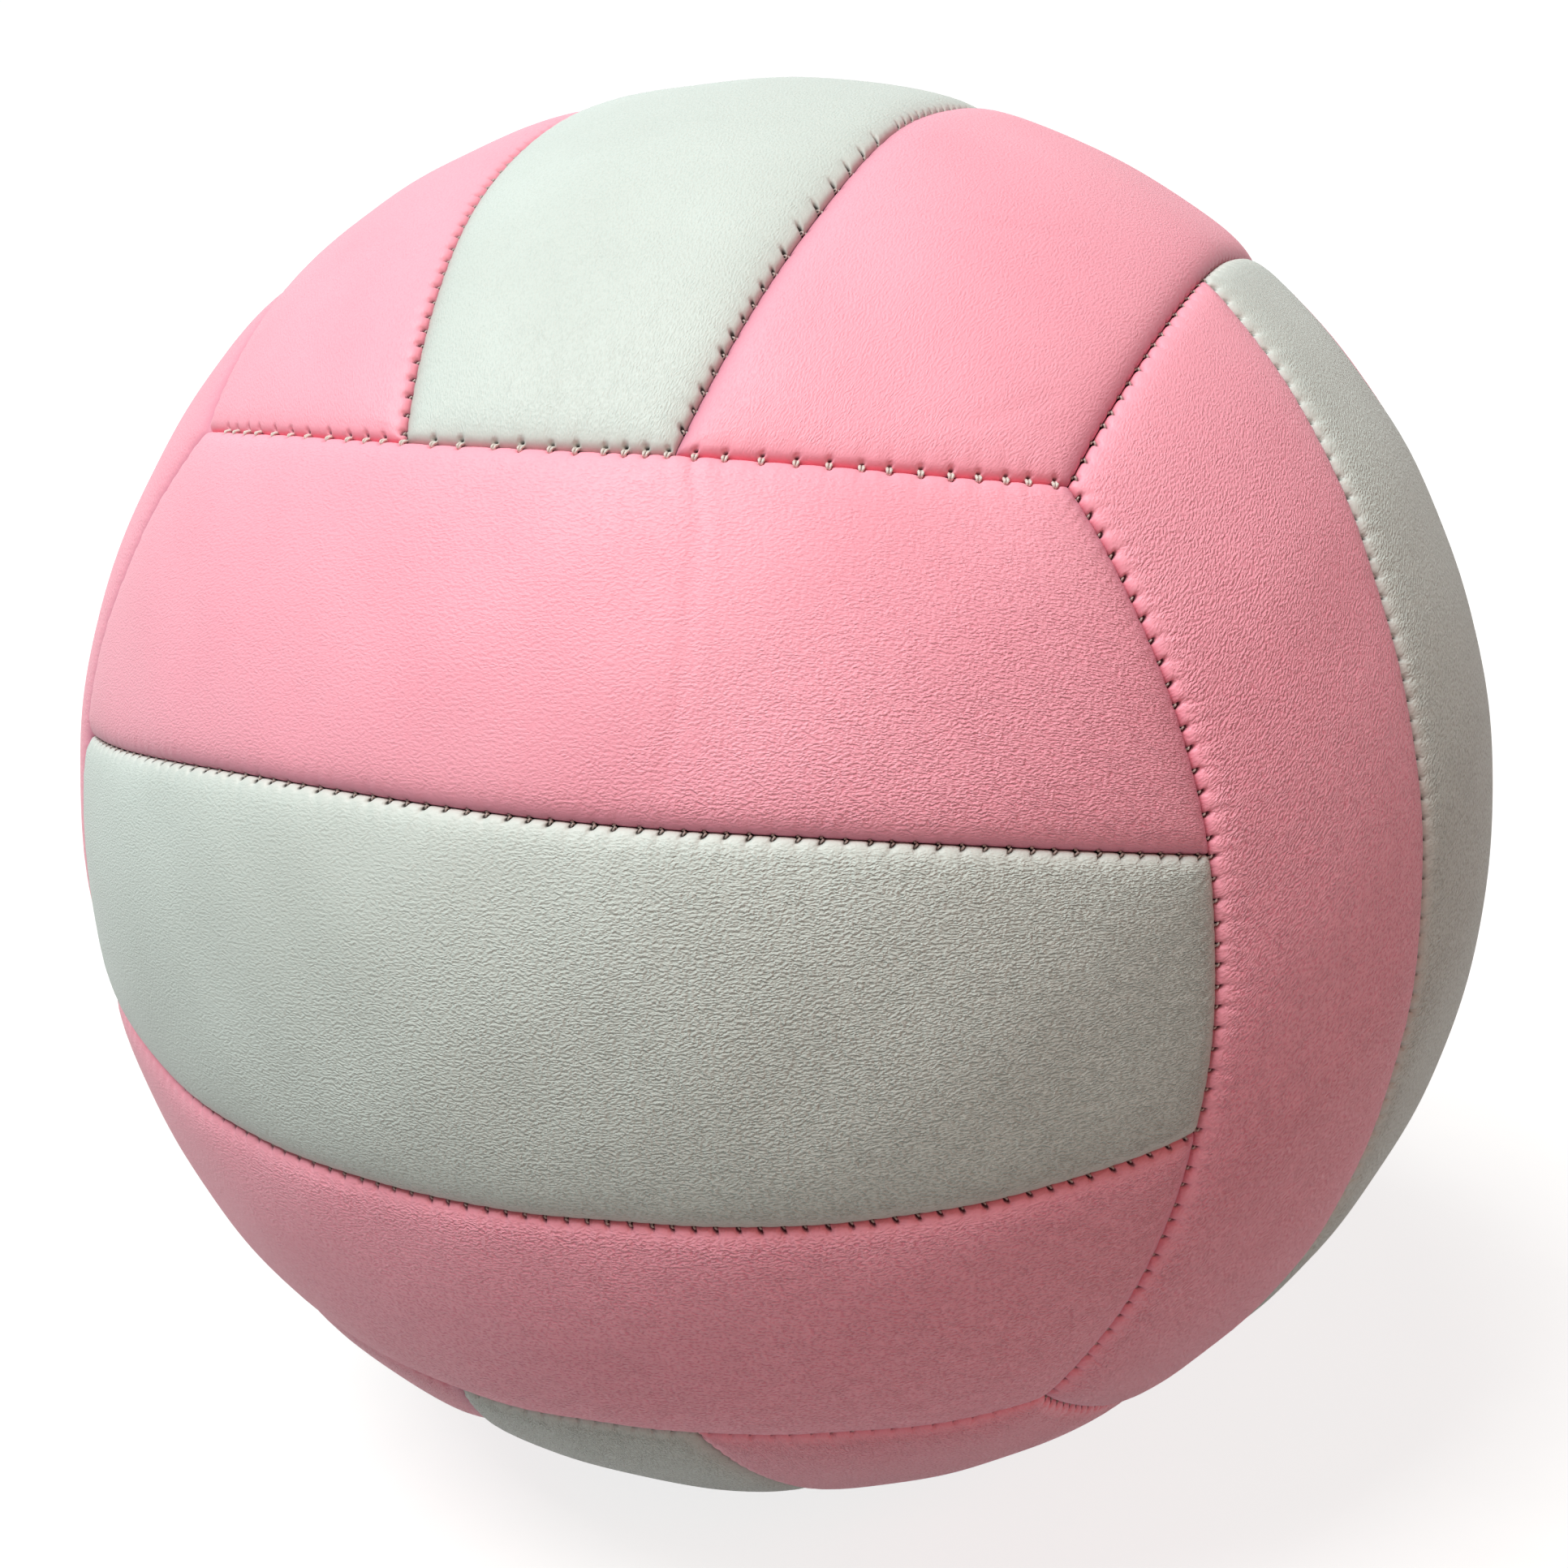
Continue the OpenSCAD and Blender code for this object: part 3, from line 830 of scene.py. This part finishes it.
def add(tree, kind, inputs=None, **settings):
    """Adds a node. An input's value is a number, a colour, or the output that feeds it."""
    made = tree.nodes.new("ShaderNode" + kind)
    for name, value in settings.items():
        setattr(made, name, value)
    for name, value in (inputs or {}).items():
        if isinstance(value, bpy.types.NodeSocket):
            tree.links.new(value, made.inputs[name])
        else:
            made.inputs[name].default_value = value
    return made


def new_material(name):
    made = bpy.data.materials.new(name)
    made.use_nodes = True
    made.node_tree.nodes.clear()
    return made, made.node_tree


def finish_material(tree, shader):
    add(tree, "OutputMaterial", {"Surface": shader.outputs[0]})


# Leather colours: face; shade, for random clouds and the painted shade in the grain's valleys;
# painted bounce light in a seam's fold; painted shade, with some grime, on a seam's side without
# thread; and painted shade, with some dirt, in the stitch holes and deep in the seams
PINK_LEATHER = ("#fdaebe", "#e87d93", "#ee667d", "#b9758c", "#36131a")
WHITE_LEATHER = ("#d1dad4", "#a4a89f", "#cfaeab", "#aaa39b", "#2a201e")
SPECKS = "#5d4a4a"


def grained_pu_leather(name, face, shade, fold, edge_shade_colour, hole_shade_and_dirt):
    """Embossed polyurethane leather: satin, with fine wrinkles that run one way.

    The eye sees a soft sheen broken up by the grain, a smoother stretched edge, and a deeper
    colour where two edges face each other in a seam, which is painted bounce light. face is the
    plain colour; shade is that of its random clouds and of the painted shade in the grain's
    valleys; the next three are those of the painted bounce light on the edges in a seam, of the
    painted shade, with some grime, on a seam's side without thread, and of the painted shade,
    with some dirt, in the stitch holes and deep in the seams.
    """
    made, tree = new_material(name)
    place = add(tree, "Attribute", attribute_name="strip_place").outputs["Vector"]
    gap = add(tree, "Attribute", attribute_name="seam_gap").outputs["Fac"]
    dark = add(tree, "Attribute", attribute_name="hole_dark").outputs["Fac"]
    # the grain wanders by up to 0.35 mm over patches of 3 mm
    patch = add(tree, "TexNoise", {"Vector": place, "Scale": 1 / 3, "Detail": 1.0})
    centred = add(tree, "VectorMath", {0: patch.outputs["Color"], 1: (0.5, 0.5, 0.5)}, operation="SUBTRACT")
    stray = add(tree, "VectorMath", {0: centred.outputs[0], "Scale": 0.7}, operation="SCALE")
    strayed = add(tree, "VectorMath", {0: place, 1: stray.outputs[0]}, operation="ADD")
    # wrinkles about 1 mm long and 0.5 mm apart
    stretched = add(tree, "Mapping", {"Vector": strayed.outputs[0], "Scale": (1 / 0.54, 1 / 0.33, 1.0)})
    wrinkles = add(tree, "TexNoise", {"Vector": stretched.outputs[0], "Scale": 1.0, "Detail": 1.0})
    ridges = add(tree, "MapRange", {"Value": wrinkles.outputs["Fac"], "From Min": 0.3, "From Max": 0.66})
    # pressed deeper in some patches than in others, and stretched smooth near a seam
    pressed = add(tree, "TexNoise", {"Vector": place, "Scale": 1 / 2.2, "Detail": 2.0})
    firm = add(
        tree, "MapRange", {"Value": pressed.outputs["Fac"], "From Min": 0.35, "From Max": 0.65, "To Min": 0.7}
    )
    even = add(tree, "MapRange", {"Value": gap, "From Min": 0.5, "From Max": 2.4, "To Min": 0.2})
    side = add(tree, "Attribute", attribute_name="grain_depth").outputs["Fac"]
    smooth = add(tree, "Math", {0: side, 1: even.outputs[0]}, operation="MULTIPLY")
    deep = add(tree, "Math", {0: firm.outputs[0], 1: smooth.outputs[0]}, operation="MULTIPLY")
    height = add(tree, "Math", {0: ridges.outputs[0], 1: deep.outputs[0]}, operation="MULTIPLY")
    bump = add(tree, "Bump", {"Height": height.outputs[0], "Distance": 0.13 * MM})
    # colour: painted shade in the grain's valleys, painted bounce light, painted shade and some dirt in the
    # seams, and cloudy over 25 mm
    cloud = add(tree, "TexNoise", {"Vector": place, "Scale": 1 / 25, "Detail": 2.0})
    cloudy = add(
        tree, "MapRange", {"Value": cloud.outputs["Fac"], "From Min": 0.3, "From Max": 0.7, "To Max": 0.16}
    )
    painted_valley_shade = add(
        tree, "MapRange", {"Value": ridges.outputs[0], "From Min": 0.6, "From Max": 0.1, "To Max": 0.28}
    )
    sunk = add(tree, "Math", {0: painted_valley_shade.outputs[0], 1: smooth.outputs[0]}, operation="MULTIPLY")
    # painted bounce light in a seam's fold, painted shade with some grime on a seam's side without thread,
    # and painted shade with some dirt in the stitch holes
    painted_bounce = add(tree, "Attribute", attribute_name="crease_bounce_light").outputs["Fac"]
    painted_edge_shade = add(tree, "Attribute", attribute_name="seam_shade").outputs["Fac"]
    pierced = add(tree, "MapRange", {"Value": dark, "From Min": 0.15, "From Max": 0.4, "To Max": 0.95})
    # a few specks of dirt, 0.5 mm across, one to about 60 mm
    speck = add(tree, "TexVoronoi", {"Vector": place, "Scale": 1 / 60})
    dirty = add(
        tree,
        "MapRange",
        {"Value": speck.outputs["Distance"], "From Min": 0.006, "From Max": 0.003, "To Max": 0.7},
    )
    colour = srgb(face)
    for amount, swatch in (
        (cloudy.outputs[0], shade),
        (sunk.outputs[0], shade),
        (painted_bounce, fold),
        (painted_edge_shade, edge_shade_colour),
        (pierced.outputs[0], hole_shade_and_dirt),
        (dirty.outputs[0], SPECKS),
    ):
        mixed = add(tree, "Mix", {"Factor": amount, "A": colour, "B": srgb(swatch)}, data_type="RGBA")
        colour = mixed.outputs["Result"]
    gloss = add(tree, "MapRange", {"Value": ridges.outputs[0], "To Min": 0.56, "To Max": 0.44})
    shader = add(
        tree,
        "BsdfPrincipled",
        {
            "Base Color": colour,
            "Roughness": gloss.outputs[0],
            "IOR": 1.5,
            "Specular IOR Level": 0.35,
            "Normal": bump.outputs[0],
        },
    )
    finish_material(tree, shader)
    return made


def closed_cell_foam():
    """Cut polyethylene foam: matt, with fine cells 0.4 mm across that the eye reads as a soft nap."""
    made, tree = new_material("closed_cell_foam")
    place = add(tree, "Attribute", attribute_name="strip_place").outputs["Vector"]
    cells = add(tree, "TexVoronoi", {"Vector": place, "Scale": 1 / 0.4})
    bump = add(tree, "Bump", {"Height": cells.outputs["Distance"], "Distance": 0.08 * MM})
    tone = add(
        tree,
        "Mix",
        {"Factor": cells.outputs["Distance"], "A": srgb("#dcd8cc"), "B": srgb("#f4f1e8")},
        data_type="RGBA",
    )
    shader = add(
        tree,
        "BsdfPrincipled",
        {
            "Base Color": tone.outputs["Result"],
            "Roughness": 0.92,
            "IOR": 1.5,
            "Specular IOR Level": 0.2,
            "Normal": bump.outputs[0],
        },
    )
    finish_material(tree, shader)
    return made


def plain_weave_cotton():
    """Unbleached plain-woven lining: the eye sees a fine basket of threads, 0.8 mm apart."""
    made, tree = new_material("plain_weave_cotton")
    place = add(tree, "Attribute", attribute_name="strip_place").outputs["Vector"]
    parts = add(tree, "SeparateXYZ", {"Vector": place})
    waves = []
    for axis in ("X", "Y"):
        turned = add(tree, "Math", {0: parts.outputs[axis], 1: math.pi / 0.8}, operation="MULTIPLY")
        waves.append(add(tree, "Math", {0: turned.outputs[0]}, operation="SINE"))
    over = add(tree, "Math", {0: waves[0].outputs[0], 1: waves[1].outputs[0]}, operation="MULTIPLY")
    height = add(tree, "Math", {0: over.outputs[0]}, operation="ABSOLUTE")
    bump = add(tree, "Bump", {"Height": height.outputs[0], "Distance": 0.12 * MM})
    slub = add(tree, "TexNoise", {"Vector": place, "Scale": 1.2})
    tone = add(
        tree,
        "Mix",
        {"Factor": slub.outputs["Fac"], "A": srgb("#c9c4b4"), "B": srgb("#e2ded2")},
        data_type="RGBA",
    )
    shader = add(
        tree,
        "BsdfPrincipled",
        {
            "Base Color": tone.outputs["Result"],
            "Roughness": 0.95,
            "Specular IOR Level": 0.15,
            "Sheen Weight": 0.2,
            "Normal": bump.outputs[0],
        },
    )
    finish_material(tree, shader)
    return made


def waxed_polyester_thread(name, light, dark):
    """Waxed two-ply polyester: off-white, with a slight gloss on each twist, and darker in the low places of
    its fine bump.
    """
    made, tree = new_material(name)
    place = add(tree, "TexCoord").outputs["Object"]
    fuzz = add(tree, "TexNoise", {"Vector": place, "Scale": 1 / (0.25 * MM), "Detail": 2.0})
    bump = add(tree, "Bump", {"Height": fuzz.outputs["Fac"], "Distance": 0.03 * MM})
    tone = add(
        tree,
        "Mix",
        {"Factor": fuzz.outputs["Fac"], "A": srgb(dark), "B": srgb(light)},
        data_type="RGBA",
    )
    shader = add(
        tree,
        "BsdfPrincipled",
        {
            "Base Color": tone.outputs["Result"],
            "Roughness": 0.5,
            "IOR": 1.53,
            "Sheen Weight": 0.25,
            "Normal": bump.outputs[0],
        },
    )
    finish_material(tree, shader)
    return made


def moulded_rubber(name, tone, dust, roughness, dusted):
    """Moulded black rubber. The eye sees a dull sheen, and a bloom of talc where it was dusted."""
    made, tree = new_material(name)
    place = add(tree, "TexCoord").outputs["Object"]
    bloom = add(tree, "TexNoise", {"Vector": place, "Scale": 1 / (9 * MM), "Detail": 6.0, "Roughness": 0.65})
    fine = add(tree, "TexNoise", {"Vector": place, "Scale": 1 / (0.4 * MM), "Detail": 2.0})
    bump = add(tree, "Bump", {"Height": fine.outputs["Fac"], "Distance": 0.02 * MM})
    amount = add(
        tree,
        "MapRange",
        {"Value": bloom.outputs["Fac"], "From Min": 0.4, "From Max": 0.75, "To Max": dusted},
    )
    colour = add(
        tree,
        "Mix",
        {"Factor": amount.outputs[0], "A": srgb(tone), "B": srgb(dust)},
        data_type="RGBA",
    )
    shader = add(
        tree,
        "BsdfPrincipled",
        {
            "Base Color": colour.outputs["Result"],
            "Roughness": roughness,
            "IOR": 1.52,
            "Normal": bump.outputs[0],
        },
    )
    finish_material(tree, shader)
    return made


def straight_view(tree):
    """1 for what the camera sees itself, in a reflection or through something clear, else 0."""
    path = add(tree, "LightPath").outputs
    clear = add(tree, "Math", {0: path["Is Glossy Ray"], 1: path["Is Transmission Ray"]}, operation="MAXIMUM")
    seen = add(tree, "Math", {0: path["Is Camera Ray"], 1: clear.outputs[0]}, operation="MAXIMUM")
    return seen.outputs[0]


def pale_floor_paper():
    """Matt white paper, which shows the ball's soft shadow.

    Its light on the ball's underside is that of a mid-grey floor. To the camera it is white, and
    further from the ball it turns to plain white where the paper ends.
    """
    made, tree = new_material("pale_floor_paper")
    place = add(tree, "TexCoord").outputs["Object"]
    fibre = add(tree, "TexNoise", {"Vector": place, "Scale": 90.0})
    tone = add(
        tree,
        "Mix",
        {"Factor": fibre.outputs["Fac"], "A": srgb("#9b9997"), "B": srgb("#a5a3a1")},
        data_type="RGBA",
    )
    paper = add(tree, "BsdfDiffuse", {"Color": tone.outputs["Result"]})
    away = add(tree, "VectorMath", {0: place}, operation="LENGTH")
    glow = add(
        tree,
        "MapRange",
        {"Value": away.outputs["Value"], "From Min": 0.3, "From Max": 0.9, "To Min": 0.8, "To Max": 1.0},
    )
    white = add(tree, "Emission", {"Color": (1, 1, 1, 1), "Strength": glow.outputs[0]})
    both = add(tree, "AddShader", {0: paper.outputs[0], 1: white.outputs[0]})
    seen = straight_view(tree)
    shader = add(tree, "MixShader", {0: seen, 1: paper.outputs[0], 2: both.outputs[0]})
    finish_material(tree, shader)
    return made


# The ball's pieces


def piece(name, mesh, material, slot, *nodes):
    """A finished piece that stands for these nodes of the frame."""
    mesh.materials.append(material)
    made = bpy.data.objects.new(name, mesh)
    bpy.context.scene.collection.objects.link(made)
    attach(made, "root")
    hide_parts(*nodes)
    return made


def joined(name, meshes):
    """One mesh from several, with their attributes."""
    parts = []
    for mesh in meshes:
        part = bpy.data.objects.new(mesh.name, mesh)
        bpy.context.scene.collection.objects.link(part)
        parts.append(part)
    with bpy.context.temp_override(active_object=parts[0], selected_editable_objects=parts):
        bpy.ops.object.join()
    mesh = parts[0].data
    bpy.data.objects.remove(parts[0])
    mesh.name = name
    return mesh


def make_cover():
    pink = grained_pu_leather("pink_grained_pu_leather", *PINK_LEATHER)
    white = grained_pu_leather("white_grained_pu_leather", *WHITE_LEATHER)
    foam, cotton = closed_cell_foam(), plain_weave_cotton()
    for group, names in STRIP_NAMES.items():
        cloth = []
        for strip, word in zip((-1, 0, 1), names):
            own = f"{group}_{word}"
            colour, slot = (white, "cover_white") if strip == 0 else (pink, "cover_pink")
            piece(own + "_leather", panel_mesh(own + "_leather", group, strip), colour, slot, own + "_panel")
            pad = piece(own + "_pad", foam_mesh(own + "_pad", group, strip), foam, "foam", own + "_foam")
            cloth.append(lining_mesh(own + "_cloth", group, strip))
        sheet = piece(group + "_cloth", joined(group + "_cloth", cloth), cotton, "lining", group + "_lining")


def make_seams():
    sewn = waxed_polyester_thread("machine_polyester_thread", "#d3c4bd", "#937f79")
    tied = waxed_polyester_thread("hand_polyester_thread", "#efe9e2", "#bdb3a8")
    for group in GROUPS:
        shell = Shell()
        for sign in (-1, 1):
            lockstitch(shell, INNER[group, sign])
        mesh = shell.mesh(group + "_stitches")[0]
        piece(group + "_stitches", mesh, sewn, "thread", group + "_seam_thread")
    shell = Shell()
    for seam in ENDS.values():
        if not seam.by_hand:
            lockstitch(shell, seam)
    piece("edge_stitches", shell.mesh("edge_stitches")[0], sewn, "thread", "edge_seam_thread")
    shell = Shell()
    hand_stitches(shell, ENDS["top", 1])
    piece("closing_stitches", shell.mesh("closing_stitches")[0], tied, "thread", "closing_seam_thread")


def dress_rubber():
    butyl = moulded_rubber("talc_dusted_butyl_rubber", "#232325", "#8e8c88", 0.6, 0.5)
    valve = moulded_rubber("moulded_valve_rubber", "#2b2b2d", "#5c5a57", 0.5, 0.15)
    for name, material in (("bladder", butyl), ("valve_boot", valve), ("valve_plug", valve)):
        node = frame["nodes"][name]
        node.data.materials.clear()
        node.data.materials.append(material)


# Floor, light and camera


def make_floor():
    mesh = bpy.data.meshes.new("floor")
    reach, low = 40.0, -BALL_R * MM
    corners = [(-reach, -reach, low), (reach, -reach, low), (reach, reach, low), (-reach, reach, low)]
    mesh.from_pydata(corners, [], [(0, 1, 2, 3)])
    mesh.materials.append(pale_floor_paper())
    floor = bpy.data.objects.new("floor", mesh)
    bpy.context.scene.collection.objects.link(floor)


def soft_lamp(name, place, size, power, swatch):
    """A square soft box that faces the ball."""
    data = bpy.data.lights.new(name, "AREA")
    data.shape, data.size, data.energy, data.color = "SQUARE", size, power, srgb(swatch)[:3]
    lamp = bpy.data.objects.new(name, data)
    bpy.context.scene.collection.objects.link(lamp)
    lamp.location = place
    lamp.rotation_mode = "QUATERNION"
    lamp.rotation_quaternion = Vector(place).to_track_quat("Z", "Y")


def make_light():
    soft_lamp("window_lamp", (-0.5, -0.98, 2.07), size=1.3, power=66, swatch="#f6fdfc")
    soft_lamp("room_lamp", (1.6, -1.15, 1.05), size=1.2, power=8.5, swatch="#ff9f7c")
    room = bpy.data.worlds.new("room")
    bpy.context.scene.world = room
    room.use_nodes = True
    tree = room.node_tree
    tree.nodes.clear()
    seen = straight_view(tree)
    shaded = add(tree, "Background", {"Color": srgb("#fbf6f2"), "Strength": 0.12})
    white = add(tree, "Background", {"Color": (1, 1, 1, 1), "Strength": 1.0})
    both = add(tree, "MixShader", {0: seen, 1: shaded.outputs[0], 2: white.outputs[0]})
    add(tree, "OutputWorld", {"Surface": both.outputs[0]})


def make_camera():
    """The photograph's view: from the front, 22 degrees to the right and 17 above, 407 mm away."""
    # fitted to the seams that the photograph shows: its side, the focal length and the ball's
    # middle in its pixels, the turn from the ball's axes to the camera's, and the distance in radii
    side, focal = 1932, 3265.93
    turn = Vector((-1.25958771, -0.247689291, -0.324049001))
    to_camera = Matrix.Rotation(turn.length, 3, turn.normalized())
    middle = Vector(((968.557517 - side / 2) / focal, (side / 2 - 966.213042) / focal, -1.0)).normalized()
    middle *= 3.87611595 * BALL_R * MM
    data = bpy.data.cameras.new("photo_camera")
    data.sensor_width, data.lens = 36, focal / side * 36
    data.clip_start, data.clip_end = 0.01, 200
    camera = bpy.data.objects.new("photo_camera", data)
    bpy.context.scene.collection.objects.link(camera)
    from_camera = to_camera.transposed()
    camera.matrix_world = Matrix.Translation(from_camera @ -middle) @ from_camera.to_4x4()
    bpy.context.scene.camera = camera


make_cover()
make_seams()
dress_rubber()
make_floor()
make_light()
make_camera()
bpy.context.scene.view_settings.view_transform = "Standard"
